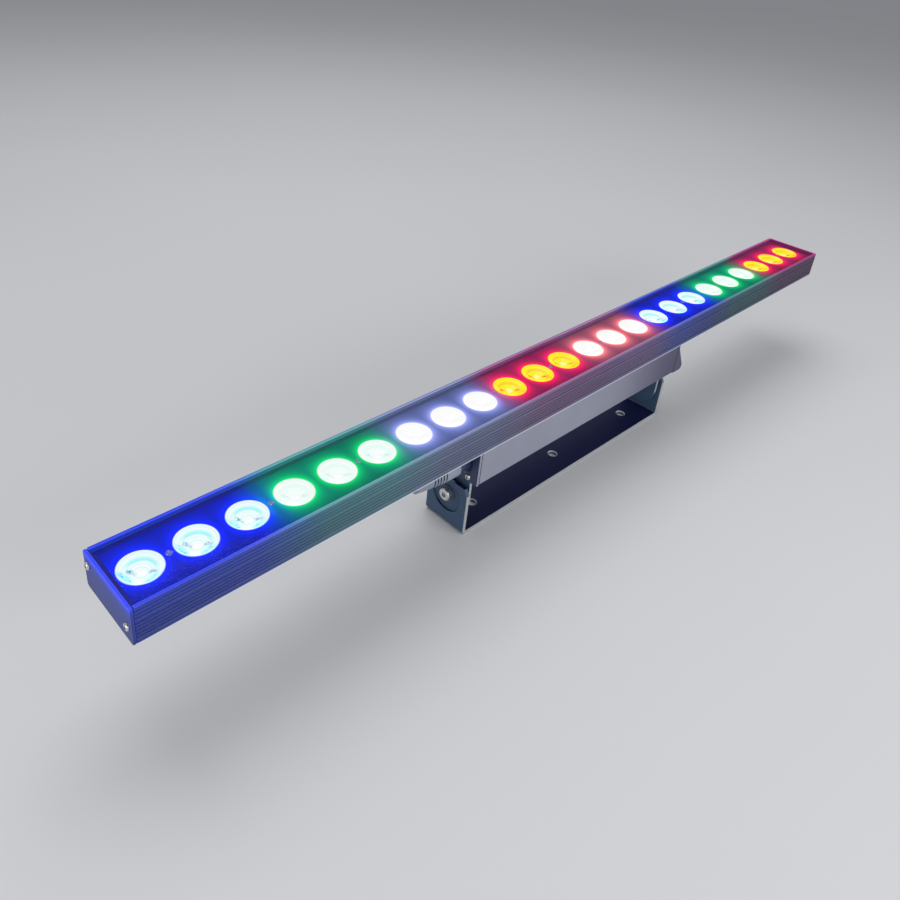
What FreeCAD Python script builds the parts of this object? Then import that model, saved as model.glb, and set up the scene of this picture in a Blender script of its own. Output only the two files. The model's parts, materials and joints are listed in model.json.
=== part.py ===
"""Outdoor wall washer light: a long ribbed aluminium bar of coloured lenses on a control box and a U bracket.

Millimetres. +X runs along the bar, -Y is the side that faces the viewer, +Z is up. The origin is on the
surface that the bracket stands on, under the middle of the bar.
"""
import FreeCAD, Part
import math
import os

from FreeCAD import Vector

# Bar
bar_width = 67.0
bar_height = 32.0
bar_wall = 3.4              # from the outer face to the cavity
bar_floor = 5.0
end_plate_thickness = 2.0
end_gasket_thickness = 1.0
end_play = 0.2              # between the last lens pitch and the end gasket

# Ribs on the two long sides of the bar
rib_inset = 0.5             # the ribs stand back from the top, middle and bottom bands
groove_depth = 0.8
groove_width = 1.4
rib_pitch = 3.0
lower_groove_count = 5
upper_groove_count = 3
bottom_band_height = 4.6
middle_band_height = 3.0
band_bevel = 0.5

# Lens opening of the bar
lip_thickness = 2.4
glass_recess = 1.0          # the glass lies this far below the lips
glass_thickness = 3.0
seal_thickness = 0.6
seal_width = 3.0
panel_thickness = 1.5
ledge_width = 3.0
ledge_thickness = 2.5
slide_in_clearance = 0.3    # round the glass, seal and panel

# Lenses
lens_count = 24
lens_pitch = 41.4
lens_group_size = 3
lens_radius = 16.25
lens_flange_radius = 17.2
lens_flange_thickness = 1.8
lens_foot_radius = 6.0
lens_cavity_radius = 3.6
lens_cavity_depth = 4.0
lens_clearance = 0.1
holder_radius = 18.0
holder_wall = 1.4
holder_foot_thickness = 1.2
holder_window_radius = 7.2

# Light boards
thermal_pad_thickness = 0.5
led_board_thickness = 1.6
led_board_width = 48.0
led_board_gap = 1.0
led_chip_size = 5.0
led_chip_height = 1.0
led_dome_radius = 1.9
lens_to_led_gap = 0.4
lead_radius = 1.5
lead_offset_x = 41.4        # beside the pillar next to the bar's middle
lead_spacing = 6.0
lead_y = -18.0

# Pillars and screws of the lens panel, one between the lenses of each pair
pillar_radius = 2.5
pillar_stud_radius = 1.25
panel_screw_radius = 1.5
panel_screw_head_radius = 2.6
panel_screw_head_height = 0.5
panel_screw_length = 8.0

# End plate screws: one low at the front, one high at the rear
end_screw_radius = 1.6
end_screw_head_radius = 3.0
end_screw_head_height = 1.8
end_screw_length = 14.0
screw_port_half = 3.2
screw_port_root = 0.5       # how deep a port is rooted in the wall
front_port_y = -27.0
front_port_drop = 19.6      # below the top of the bar
rear_port_y = 28.0
rear_port_drop = 10.2

# Cross recess in the round-headed screws
recess_width = 0.9
recess_share = 0.55         # of the head's radius and of its height

# Control box under the middle of the bar
box_centre_x = -8.0
box_length = 335.0
box_height = 35.8
box_sheet = 1.5
box_bend_radius = 2.5
box_flange_width = 10.0
box_end_plate_thickness = 2.5
box_gasket_thickness = 1.0
box_gasket_width = 3.0
gasket_inset = 0.4          # gaskets stand back from the faces beside them
box_tab_height = 9.0
box_tab_thickness = 2.0
box_tab_width = 56.0
box_screw_y = 22.5
box_screw_above_bottom = 5.2
box_screw_radius = 1.6
box_screw_head_radius = 3.0
box_screw_head_height = 2.0
box_screw_length = 9.0
mount_screw_radius = 2.0
mount_screw_head_radius = 3.6
mount_screw_head_height = 2.4
mount_screw_spacing = 140.0
mount_screw_depth = 4.0

# Guard round the outlets, folded from the right end plate
guard_length = 15.0
guard_sheet = 1.5
guard_top_drop = 4.0        # where its raked edge starts, below the top of the box
guard_corner_radius = 4.0
guard_rake_foot = 6.0       # the raked edge ends this far above the bottom

# Sockets and their caps
socket_y = 12.8
socket_above_bottom = 20.6
pocket_half_width = 25.5
pocket_half_height = 10.4
pocket_radius = 5.0
pocket_depth = 1.0
socket_flange_width = 21.0
socket_flange_height = 17.0
socket_flange_thickness = 2.0
socket_barrel_radius = 8.5
socket_barrel_length = 8.0
socket_inner_radius = 8.0
socket_inner_length = 14.0
socket_nut_radius = 11.0
socket_nut_thickness = 3.0
socket_contact_radius = 1.0
socket_contact_circle = 4.0
socket_contact_count = 3
socket_bore_radius = 6.8
cap_radius = 12.4
cap_smooth_length = 28.0
cap_grip_length = 18.0
cap_grip_groove_count = 5
cap_grip_groove_width = 1.6
cap_grip_groove_depth = 1.2
cap_grip_end_radius = 10.6
cap_tail_length = 16.0
cap_tail_end_radius = 8.6
cap_tail_bevel = 1.0
cap_wall_gap = 0.2
outlet_cap_radius = 10.4
outlet_cap_length = 10.0
outlet_cap_top = 1.5

# Rear control panel: display and four push buttons
panel_centre_x = -8.0
panel_width = 104.0
panel_height = 24.0
panel_plate_thickness = 1.5
panel_opening_margin = 3.0
panel_above_bottom = 18.0
display_width = 34.0
display_height = 14.0
display_room_share = 0.4    # of the opening's free room, beside the display at its end
display_window_thickness = 1.0
button_count = 4
button_radius = 4.0
button_flange_radius = 5.0
button_flange_thickness = 1.0
button_stem_radius = 1.5
button_stand_out = 1.2
button_travel = 0.8
button_pitch = 12.0
button_room_share = 0.4     # of the opening's free room, between the display and the buttons
button_clearance = 0.2
button_back_gap = 0.05
switch_body_size = 6.0
switch_body_height = 3.5
switch_plunger_height = 0.8
button_board_thickness = 1.6
button_board_post = 2.0     # half the side of the plate's corner posts

# Electronics inside the box
electronics_end_gap = 2.85  # from the clinch nuts to the supply and to the driver board
supply_length = 140.0
supply_width = 42.0
supply_height = 24.0
supply_sheet = 1.0
driver_length = 104.0
driver_width = 40.0
driver_thickness = 1.6
driver_standoff_height = 6.0
driver_standoff_radius = 2.5
driver_standoff_inset = 5.0
capacitor_radius = 5.0
capacitor_height = 14.0
capacitor_pitch = 13.0
capacitor_count = 3
terminal_length = 30.0
terminal_width = 10.0
terminal_height = 9.0
terminal_pole_count = 5
terminal_screw_radius = 1.6
vent_radius = 8.0
vent_thickness = 3.0
vent_thread_radius = 5.0
vent_nut_radius = 7.5
vent_nut_thickness = 2.5

# Bracket
bracket_length = 336.0
bracket_width = 50.0
bracket_sheet = 3.5
bracket_bend_radius = 5.0
pivot_height = 34.5
pivot_to_box = 28.7
ear_above_pivot = 17.5
ear_chamfer_y = 4.0
ear_chamfer_z = 7.0
dish_radius = 19.0
dish_depth = 2.0
dish_back_radius = 17.0
index_mark_length = 4.5
index_mark_width = 1.2
index_mark_depth = 0.4
index_mark_circle = 12.5
index_mark_angles = (0.0, 90.0, 180.0, 248.0)
base_hole_radius = 4.5
base_hole_spacing = 129.0
base_hole_chamfer = 0.8

# Hinge plates and pivots
friction_disc_thickness = 1.0
friction_disc_radius = 16.0
hinge_gap = 0.15
hinge_sheet = 3.0
hinge_half_width = 21.0
hinge_flange_length = 22.0
hinge_bend_radius = 4.5
hinge_screw_y = 13.0
hinge_screw_from_edge = 8.0
hinge_screw_radius = 2.5
hinge_screw_head_radius = 4.6
hinge_screw_head_height = 2.8
clinch_nut_radius = 5.5
clinch_nut_height = 4.0
pivot_radius = 4.0
pivot_clearance = 0.05
pivot_head_radius = 6.4
pivot_head_height = 4.6
pivot_socket_width = 5.0
pivot_socket_depth = 2.8
pivot_washer_radius = 8.4
pivot_washer_thickness = 1.6
pivot_nut_radius = 7.5
pivot_nut_height = 6.5
pivot_end_length = 2.0

# Worked out from the sizes above
bar_length = lens_count * lens_pitch + 2 * (end_plate_thickness + end_gasket_thickness + end_play)
box_bottom = pivot_height + pivot_to_box
bar_bottom = box_bottom + box_height
bar_top = bar_bottom + bar_height
half_width = bar_width / 2
profile_half = bar_length / 2 - end_plate_thickness - end_gasket_thickness
glass_top = bar_top - glass_recess
glass_bottom = glass_top - glass_thickness
panel_top = glass_bottom - seal_thickness
panel_bottom = panel_top - panel_thickness
lip_inner = half_width - lip_thickness
cavity_half = half_width - bar_wall
floor_top = bar_bottom + bar_floor
pad_top = floor_top + thermal_pad_thickness
board_top = pad_top + led_board_thickness
flange_bottom = panel_bottom - lens_flange_thickness
lens_foot = board_top + led_chip_height + led_dome_radius + lens_to_led_gap
fit_half_width = lip_inner - slide_in_clearance
fit_half_length = profile_half - slide_in_clearance
lens_places = [(i - (lens_count - 1) / 2) * lens_pitch for i in range(lens_count)]
pillar_places = [x + lens_pitch / 2 for x in lens_places[0::2]]
screw_ports = ((front_port_y, bar_top - front_port_drop), (rear_port_y, bar_top - rear_port_drop))
box_half = box_length / 2
shell_half = box_half - box_end_plate_thickness - box_gasket_thickness
box_inner_bottom = box_bottom + box_sheet
box_inner_half = half_width - box_sheet
socket_z = box_bottom + socket_above_bottom
plate_front = box_inner_half                             # outer face of the rear control plate
plate_back = plate_front - panel_plate_thickness
panel_z = box_bottom + panel_above_bottom
panel_opening_half = panel_width / 2 - panel_opening_margin
panel_room = 2 * (panel_opening_half - button_radius) - display_width - (button_count - 1) * button_pitch
display_x = panel_centre_x - panel_opening_half + display_room_share * panel_room + display_width / 2
first_button_x = display_x + display_width / 2 + button_room_share * panel_room + button_radius
button_stem_end = plate_back - button_back_gap - button_flange_thickness - cap_wall_gap
plunger_top = button_stem_end - button_travel - button_back_gap
switch_board_top = plunger_top - switch_plunger_height - switch_body_height
driver_bottom = box_inner_bottom + driver_standoff_height
bracket_half = bracket_length / 2
ear_inner = bracket_half - bracket_sheet
dish_floor = bracket_half - dish_depth
disc_outer = ear_inner - dish_depth
hinge_outer = disc_outer - friction_disc_thickness - hinge_gap
hinge_inner = hinge_outer - hinge_sheet
hinge_screw_offset = hinge_inner - hinge_flange_length + hinge_screw_from_edge
nut_face = hinge_inner - hinge_gap - pivot_washer_thickness
bolt_end = nut_face - pivot_nut_height - pivot_end_length
electronics_half = hinge_screw_offset - clinch_nut_radius - electronics_end_gap
supply_x = box_centre_x - electronics_half + supply_length / 2
driver_x = box_centre_x + electronics_half - driver_length / 2
vent_x = (supply_x + supply_length / 2 + driver_x - driver_length / 2) / 2

AXES = {"x": Vector(1, 0, 0), "y": Vector(0, 1, 0), "z": Vector(0, 0, 1)}


def block(x0, x1, y0, y1, z0, z1):
    """A box between two corners, given in any order along each axis."""
    low = Vector(min(x0, x1), min(y0, y1), min(z0, z1))
    return Part.makeBox(abs(x1 - x0), abs(y1 - y0), abs(z1 - z0), low)


def rod(axis, start, radius, length):
    """A cylinder from a point along an axis; a negative length runs the other way."""
    direction = AXES[axis] * (1 if length > 0 else -1)
    return Part.makeCylinder(radius, abs(length), start, direction)


def hexagon(axis, start, radius, length):
    """A hexagonal prism of that corner radius, from a point along an axis."""
    first = AXES["y"] if axis == "x" else AXES["x"]
    second = AXES[axis].cross(first)
    angles = [math.radians(60 * i) for i in range(7)]
    points = [start + first * (radius * math.cos(a)) + second * (radius * math.sin(a)) for a in angles]
    return Part.Face(Part.makePolygon(points)).extrude(AXES[axis] * length)


def section(points, x0, x1):
    """A closed outline of (y, z) points carried along X."""
    corners = [Vector(x0, y, z) for y, z in points]
    return Part.Face(Part.makePolygon(corners + corners[:1])).extrude(Vector(x1 - x0, 0, 0))


def turned(points, centre, axis):
    """A profile of (radius, distance along the axis) points, spun round an axis through a point."""
    along = AXES[axis]
    out = AXES["y"] if axis == "x" else AXES["x"]
    corners = [centre + out * r + along * d for r, d in points]
    return Part.Face(Part.makePolygon(corners + corners[:1])).revolve(centre, along, 360)


def rounded_plate(x0, x1, half_y, centre_z, half_z, radius):
    """A plate square to X with four rounded corners."""
    plate = block(x0, x1, -half_y, half_y, centre_z - half_z, centre_z + half_z)
    return plate.makeFillet(radius, [e for e in plate.Edges if abs(e.tangentAt(e.FirstParameter).x) > 0.9])


def cut_all(solid, tools):
    """The solid less every tool, with the faces that the cuts split joined again."""
    return solid.cut(tools).removeSplitter() if tools else solid


def save(name, *solids):
    """Writes the solids of one sub-part to its own file."""
    shape = solids[0] if len(solids) == 1 else Part.makeCompound(list(solids))
    shape.exportStep("parts/" + name + ".step")


def pan_screw(axis, seat, sign, head_radius, head_height, radius, length):
    """A round-headed screw: the head stands on its seat towards sign, the shank runs the other way."""
    out = AXES[axis] * sign
    top = seat + out * head_height
    shank = rod(axis, seat - out * length, radius, sign * (length + head_height / 2))
    head = rod(axis, seat, head_radius, sign * head_height)
    rim = [e for e in head.Edges if e.BoundBox.Center.distanceToPoint(top) < 0.01]
    head = head.makeFillet(0.8 * head_height, rim)
    arm, half = head_radius * recess_share, recess_width / 2
    depth = out * (head_height * recess_share)
    if axis == "x":
        across = [Vector(0, arm, half), Vector(0, half, arm)]
    else:
        across = [Vector(arm, half, 0), Vector(half, arm, 0)]
    slots = [block(*sum(zip(top - a - depth, top + a + depth), ())) for a in across]
    return head.fuse(shank).cut(slots).removeSplitter()


# ---------------------------------------------------------------- the bar


def side_outline():
    """Outer edge of the bar's section on one side, bottom to top, as (distance from the middle, height)."""
    rib_face = half_width - rib_inset
    points = [(half_width, bar_bottom), (half_width, bar_bottom + bottom_band_height - band_bevel)]

    def ribs(start, count):
        for i in range(count):
            z = start + i * rib_pitch
            points.extend([(rib_face, z), (rib_face - groove_depth, z)])
            points.extend([(rib_face - groove_depth, z + groove_width), (rib_face, z + groove_width)])

    lower = bar_bottom + bottom_band_height
    ribs(lower, lower_groove_count)
    band = lower + (lower_groove_count - 1) * rib_pitch + groove_width
    points.extend([(half_width, band + band_bevel), (half_width, band + middle_band_height - band_bevel)])
    upper = band + middle_band_height
    ribs(upper, upper_groove_count)
    top_band = upper + (upper_groove_count - 1) * rib_pitch + groove_width
    points.extend([(half_width, top_band + band_bevel), (half_width, bar_top)])
    return points


def make_housing():
    """The ribbed channel: floor, side walls with a ledge for the lens panel, a screw port in each wall."""
    ledge_inner = lip_inner - ledge_width
    ledge_bottom = panel_bottom - ledge_thickness
    inner = [(lip_inner, bar_top), (lip_inner, panel_bottom), (ledge_inner, panel_bottom)]
    inner += [(ledge_inner, ledge_bottom), (cavity_half, ledge_bottom), (cavity_half, floor_top)]
    right = side_outline() + inner
    left = [(-y, z) for y, z in reversed(right)]
    channel = section(right + left, -profile_half, profile_half)
    for y, z in screw_ports:
        wall = math.copysign(cavity_half + screw_port_root, y)
        tip = y - math.copysign(screw_port_half, y)
        port = block(-profile_half, profile_half, wall, tip, z - screw_port_half, z + screw_port_half)
        channel = channel.fuse(port)
    tools = [rod("x", Vector(-profile_half, y, z), end_screw_radius, 2 * profile_half)
             for y, z in screw_ports]
    stud_hole = pillar_stud_radius + lens_clearance
    lead_hole = lead_radius + lens_clearance
    tools += [rod("z", Vector(x, 0, bar_bottom), stud_hole, bar_floor) for x in pillar_places]
    tools += [rod("z", Vector(x, y, bar_bottom), lead_hole, bar_floor) for x, y in lead_places()]
    tools += [rod("z", Vector(x, y, bar_bottom), mount_screw_radius, mount_screw_depth)
              for x, y in mount_places()]
    return cut_all(channel, tools)


def lead_places():
    """Where the leads rise from the control box into the bar: two for each light board."""
    return [(side * (lead_offset_x + k * lead_spacing / 2), lead_y) for side in (-1, 1) for k in (-1, 1)]


def mount_places():
    """Screws that hold the control box's top flanges to the floor of the bar."""
    y = box_inner_half - box_flange_width / 2
    xs = [box_centre_x + i * mount_screw_spacing for i in (-1, 0, 1)]
    return [(x, side * y) for x in xs for side in (-1, 1)]


def end_outline(half_y, low, high, x0, x1, corner):
    """A rectangular plate square to X with four small bevels."""
    pts = [(half_y - corner, low), (half_y, low + corner), (half_y, high - corner), (half_y - corner, high)]
    return section(pts + [(-y, z) for y, z in reversed(pts)], x0, x1)


def make_bar_ends():
    """End plates, their gaskets and screws, at both ends of the bar."""
    gaskets, screws = [], []
    for side, word in ((-1, "left"), (1, "right")):
        inner = side * (bar_length / 2 - end_plate_thickness)
        outer = side * bar_length / 2
        depth = bar_length / 2 - profile_half
        holes = [rod("x", Vector(outer, y, z), end_screw_radius + lens_clearance, -side * depth)
                 for y, z in screw_ports]
        plate = end_outline(half_width, bar_bottom, bar_top, inner, outer, band_bevel)
        save("end_plate_" + word, cut_all(plate, holes))
        gasket = end_outline(half_width - gasket_inset, bar_bottom + gasket_inset, bar_top - gasket_inset,
                             side * profile_half, inner, band_bevel)
        gaskets.append(cut_all(gasket, holes))
        for y, z in screw_ports:
            screws.append(pan_screw("x", Vector(outer, y, z), side, end_screw_head_radius,
                                    end_screw_head_height, end_screw_radius, end_screw_length))
    save("end_gaskets", *gaskets)
    save("end_plate_screws", *screws)


def make_front():
    """Glass, its seal and the lens panel, which lie on the ledges between the lips."""
    def sheet(inset, low, high):
        long_side, short_side = fit_half_length - inset, fit_half_width - inset
        return block(-long_side, long_side, -short_side, short_side, low, high)

    save("front_glass", sheet(0, glass_bottom, glass_top))
    opening = sheet(seal_width, panel_top, glass_bottom)
    save("glass_seal", sheet(0, panel_top, glass_bottom).cut(opening))
    panel = sheet(0, panel_bottom, panel_top)
    holes = [rod("z", Vector(x, 0, panel_bottom), lens_radius + lens_clearance, panel_thickness)
             for x in lens_places]
    holes += [rod("z", Vector(x, 0, panel_bottom), panel_screw_radius + lens_clearance, panel_thickness)
              for x in pillar_places]
    save("lens_panel", cut_all(panel, holes))


def make_lens(x):
    """A collimating lens: a cone with a cavity over its light source, a flange and a flat face."""
    cone_top = flange_bottom - lens_foot
    flange_top = panel_bottom - lens_foot
    face = panel_top - lens_foot
    points = [(lens_cavity_radius, 0), (lens_foot_radius, 0), (lens_radius - holder_wall, cone_top)]
    points += [(lens_flange_radius, cone_top), (lens_flange_radius, flange_top), (lens_radius, flange_top)]
    points += [(lens_radius, face), (0, face), (0, lens_cavity_depth)]
    points += [(lens_cavity_radius, lens_cavity_depth)]
    return turned(points, Vector(x, 0, lens_foot), "z")


def make_holder(x):
    """The cup that centres a lens over its light source and carries its flange."""
    height = flange_bottom - board_top
    points = [(holder_window_radius, 0), (holder_radius, 0), (holder_radius, height)]
    points += [(holder_radius - holder_wall, height), (holder_radius - holder_wall, holder_foot_thickness)]
    points += [(holder_window_radius, holder_foot_thickness)]
    return turned(points, Vector(x, 0, board_top), "z")


def make_lenses():
    """Lenses in groups of one colour, with their holders."""
    colours = ("blue_1", "green_1", "cool_white", "red_1", "warm_white", "blue_2", "green_2", "red_2")
    for i, colour in enumerate(colours):
        places = lens_places[i * lens_group_size:(i + 1) * lens_group_size]
        save("lenses_" + colour, *[make_lens(x) for x in places])
    save("lens_holders", *[make_holder(x) for x in lens_places])


def make_light_boards():
    """Two light boards on thermal pads, their light sources, and the leads that feed them."""
    through = lens_clearance
    pads = []
    for side, word in ((-1, "left"), (1, "right")):
        near, far = side * led_board_gap / 2, side * fit_half_length
        half = led_board_width / 2
        holes = [rod("z", Vector(x, 0, floor_top), pillar_stud_radius + through, board_top - floor_top)
                 for x in pillar_places]
        holes += [rod("z", Vector(x, y, floor_top), lead_radius + through, board_top - floor_top)
                  for x, y in lead_places()]
        pads.append(cut_all(block(near, far, -half, half, floor_top, pad_top), holes))
        save("led_board_" + word, cut_all(block(near, far, -half, half, pad_top, board_top), holes))
    save("thermal_pads", *pads)
    chips = []
    for x in lens_places:
        half = led_chip_size / 2
        base = block(x - half, x + half, -half, half, board_top, board_top + led_chip_height)
        centre = Vector(x, 0, board_top + led_chip_height)
        dome = Part.makeSphere(led_dome_radius, centre, AXES["z"], 0, 90, 360)
        chips.append(base.fuse(dome).removeSplitter())
    save("led_packages", *chips)
    lead_top = board_top + lens_to_led_gap
    save("led_leads", *[rod("z", Vector(x, y, lead_bottom(x)), lead_radius, lead_top - lead_bottom(x))
                        for x, y in lead_places()])


def lead_bottom(x):
    """Leads start on whatever carries them in the box: the supply's lid, or the driver board."""
    on_driver = abs(x - driver_x) < driver_length / 2
    return driver_bottom + driver_thickness if on_driver else box_inner_bottom + supply_height


def make_panel_fixings():
    """Pillars that carry the lens panel, each held by a stud in the floor, and the screws on top of them."""
    pillars, screws = [], []
    for x in pillar_places:
        pillar = rod("z", Vector(x, 0, board_top), pillar_radius, panel_bottom - board_top)
        stud = rod("z", Vector(x, 0, bar_bottom + end_plate_thickness), pillar_stud_radius,
                   board_top - bar_bottom - end_plate_thickness)
        bore = rod("z", Vector(x, 0, panel_bottom), panel_screw_radius + pivot_clearance,
                   panel_thickness - panel_screw_length - end_play)
        pillars.append(pillar.fuse(stud).cut(bore).removeSplitter())
        screws.append(pan_screw("z", Vector(x, 0, panel_top), 1, panel_screw_head_radius,
                                panel_screw_head_height, panel_screw_radius, panel_screw_length))
    save("panel_pillars", *pillars)
    save("panel_screws", *screws)


# ---------------------------------------------------------------- the control box


def edges_along_x(solid, places):
    """Edges along X whose (y, z) lies at one of the places."""
    found = []
    for e in solid.Edges:
        box = e.BoundBox
        along = box.XLength > max(box.YLength, box.ZLength)
        if along and any(math.hypot(box.Center.y - y, box.Center.z - z) < 0.01 for y, z in places):
            found.append(e)
    return found


def make_shell():
    """The folded trough: bottom, two sides with inward top flanges, and a tab at each end for the screws."""
    x0, x1 = box_centre_x - shell_half, box_centre_x + shell_half
    shell = block(x0, x1, -half_width, half_width, box_bottom, bar_bottom)
    outer = [(side * half_width, box_bottom) for side in (-1, 1)]
    shell = shell.makeFillet(box_bend_radius, edges_along_x(shell, outer))
    hollow = block(x0, x1, -box_inner_half, box_inner_half, box_inner_bottom, bar_bottom - box_sheet)
    inner = [(side * box_inner_half, box_inner_bottom) for side in (-1, 1)]
    hollow = hollow.makeFillet(box_bend_radius - box_sheet, edges_along_x(hollow, inner))
    mouth_half = box_inner_half - box_flange_width
    mouth = block(x0, x1, -mouth_half, mouth_half, bar_bottom - box_sheet, bar_bottom)
    shell = shell.cut([hollow, mouth])
    for side in (-1, 1):
        end = box_centre_x + side * shell_half
        tab = block(end, end - side * box_tab_thickness, -box_tab_width / 2, box_tab_width / 2,
                    box_inner_bottom, box_inner_bottom + box_tab_height)
        shell = shell.fuse(tab)
    half_tall = panel_height / 2 - panel_opening_margin
    window = block(panel_centre_x - panel_opening_half, panel_centre_x + panel_opening_half, box_inner_half,
                   half_width, panel_z - half_tall, panel_z + half_tall)
    vent_hole = vent_thread_radius + lens_clearance
    tools = [window, rod("z", Vector(vent_x, 0, box_bottom), vent_hole, box_sheet)]
    tools += [rod("z", Vector(x, y, box_bottom), hinge_screw_radius + lens_clearance, box_sheet)
              for x, y in hinge_screw_places()]
    tools += [rod("z", Vector(x, y, bar_bottom - box_sheet), mount_screw_radius + lens_clearance, box_sheet)
              for x, y in mount_places()]
    tools += [rod("x", Vector(box_centre_x - shell_half, y, z), box_screw_radius, 2 * shell_half)
              for y, z in box_screw_places()]
    return cut_all(shell, tools)


def box_screw_places():
    """Centres of the screws in the box's end plates, as (y, z)."""
    return [(side * box_screw_y, box_bottom + box_screw_above_bottom) for side in (-1, 1)]


def hinge_screw_places():
    """Centres of the screws between the hinge plates' flanges and the box, as (x, y)."""
    xs = [box_centre_x + end * hinge_screw_offset for end in (-1, 1)]
    return [(x, side * hinge_screw_y) for x in xs for side in (-1, 1)]


def make_guard(plate_face):
    """Walls folded out of the right end plate round the outlets, raked, with a round lower corner."""
    tip = plate_face + guard_length
    top = bar_bottom - guard_top_drop
    foot = box_bottom + guard_rake_foot
    outline = [Vector(plate_face, 0, box_bottom), Vector(tip - guard_corner_radius, 0, box_bottom)]
    inset = guard_corner_radius * (1 - math.sqrt(0.5))
    middle = Vector(tip - inset, 0, box_bottom + inset)
    arc_end = Vector(tip, 0, box_bottom + guard_corner_radius)
    edges = [Part.LineSegment(outline[0], outline[1]).toShape()]
    edges.append(Part.Arc(outline[1], middle, arc_end).toShape())
    corners = [arc_end, Vector(tip, 0, foot), Vector(plate_face, 0, top), outline[0]]
    edges += [Part.LineSegment(a, b).toShape() for a, b in zip(corners, corners[1:])]
    wing = Part.Face(Part.Wire(edges)).extrude(Vector(0, bar_width, 0))
    wing.translate(Vector(0, -half_width, 0))
    low = box_bottom + guard_sheet
    inner_half = half_width - guard_sheet
    return wing.cut(block(plate_face, tip + guard_length, -inner_half, inner_half, low, bar_bottom))


def make_box_ends():
    """End plates with a pocket for the sockets, gaskets and screws, at both ends of the control box."""
    gaskets, screws = [], []
    for side, word in ((-1, "left"), (1, "right")):
        outer = box_centre_x + side * box_half
        inner = outer - side * box_end_plate_thickness
        end = box_centre_x + side * shell_half
        plate = end_outline(half_width, box_bottom, bar_bottom, inner, outer, band_bevel)
        tools = [rounded_plate(outer - side * pocket_depth, outer, pocket_half_width, socket_z,
                               pocket_half_height, pocket_radius)]
        socket_hole = socket_inner_radius + lens_clearance
        tools += [rod("x", Vector(outer, y, socket_z), socket_hole, -side * box_end_plate_thickness)
                  for y in (-socket_y, socket_y)]
        screw_hole = box_screw_radius + lens_clearance
        holes = [rod("x", Vector(outer, y, z), screw_hole, -side * (box_half - shell_half))
                 for y, z in box_screw_places()]
        if side > 0:
            plate = plate.fuse(make_guard(outer))
        save("box_end_plate_" + word, cut_all(plate, tools + holes))
        gasket = end_outline(half_width - gasket_inset, box_bottom + gasket_inset, bar_bottom, end, inner,
                             box_bend_radius)
        open_half = box_inner_half - box_gasket_width
        opening = block(end, inner, -open_half, open_half, box_inner_bottom + box_tab_height,
                        bar_bottom - box_sheet - box_gasket_width)
        gaskets.append(cut_all(gasket, [opening] + holes))
        for y, z in box_screw_places():
            screws.append(pan_screw("x", Vector(outer, y, z), side, box_screw_head_radius,
                                    box_screw_head_height, box_screw_radius, box_screw_length))
    save("box_gaskets", *gaskets)
    save("box_end_screws", *screws)
    grip = mount_screw_depth + box_sheet - end_play
    mounts = [pan_screw("z", Vector(x, y, bar_bottom - box_sheet), -1, mount_screw_head_radius,
                        mount_screw_head_height, mount_screw_radius, grip) for x, y in mount_places()]
    save("box_mount_screws", *mounts)


def make_socket(side, y):
    """A panel socket: square flange, hollow barrel with contacts outside, round body and nut inside."""
    face = box_centre_x + side * (box_half - pocket_depth)
    inner = box_centre_x + side * (box_half - box_end_plate_thickness)
    flange = block(face, face + side * socket_flange_thickness, y - socket_flange_width / 2,
                   y + socket_flange_width / 2, socket_z - socket_flange_height / 2,
                   socket_z + socket_flange_height / 2)
    start = Vector(face, y, socket_z)
    outside = rod("x", start, socket_barrel_radius, side * (socket_flange_thickness + socket_barrel_length))
    inside = rod("x", start, socket_inner_radius, -side * socket_inner_length)
    bore_start = start + AXES["x"] * (side * socket_flange_thickness)
    hollow = rod("x", bore_start, socket_bore_radius, side * socket_barrel_length)
    body = flange.fuse([outside, inside]).cut(hollow)
    contacts = []
    for i in range(socket_contact_count):
        angle = 2 * math.pi * i / socket_contact_count
        around = Vector(0, math.cos(angle), math.sin(angle))
        place = bore_start + around * socket_contact_circle
        contacts.append(rod("x", place, socket_contact_radius, side * socket_barrel_length * 0.75))
    body = body.fuse(contacts).removeSplitter()
    seat = Vector(inner, y, socket_z)
    nut = hexagon("x", seat, socket_nut_radius, -side * socket_nut_thickness)
    bore = rod("x", seat, socket_inner_radius + pivot_clearance, -side * socket_nut_thickness)
    return [body, nut.cut(bore)]


def make_inlet_cap(y):
    """A blind weather cap on an inlet: smooth sleeve, ring-grooved grip that tapers, and a narrower tail."""
    flange_face = box_half - pocket_depth + socket_flange_thickness
    sleeve = cap_smooth_length
    grip = sleeve + cap_grip_length
    tail = grip + cap_tail_length
    bore = socket_barrel_radius + cap_wall_gap
    points = [(bore, cap_wall_gap), (cap_radius, cap_wall_gap), (cap_radius, sleeve)]
    pitch = cap_grip_length / (cap_grip_groove_count + 0.5)
    for i in range(cap_grip_groove_count):
        start = sleeve + (i + 0.5) * pitch
        radius = cap_radius + (cap_grip_end_radius - cap_radius) * (i + 0.5) / cap_grip_groove_count
        points += [(radius, start), (radius - cap_grip_groove_depth, start)]
        points += [(radius - cap_grip_groove_depth, start + cap_grip_groove_width)]
        points += [(radius, start + cap_grip_groove_width)]
    points += [(cap_grip_end_radius, grip), (cap_tail_end_radius, tail - cap_tail_bevel)]
    depth = socket_barrel_length + cap_wall_gap
    points += [(cap_tail_end_radius - cap_tail_bevel, tail), (0, tail), (0, depth), (bore, depth)]
    cap = turned([(r, -d) for r, d in points], Vector(0, 0, 0), "x")
    cap.translate(Vector(box_centre_x - flange_face, y, socket_z))
    return cap


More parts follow.
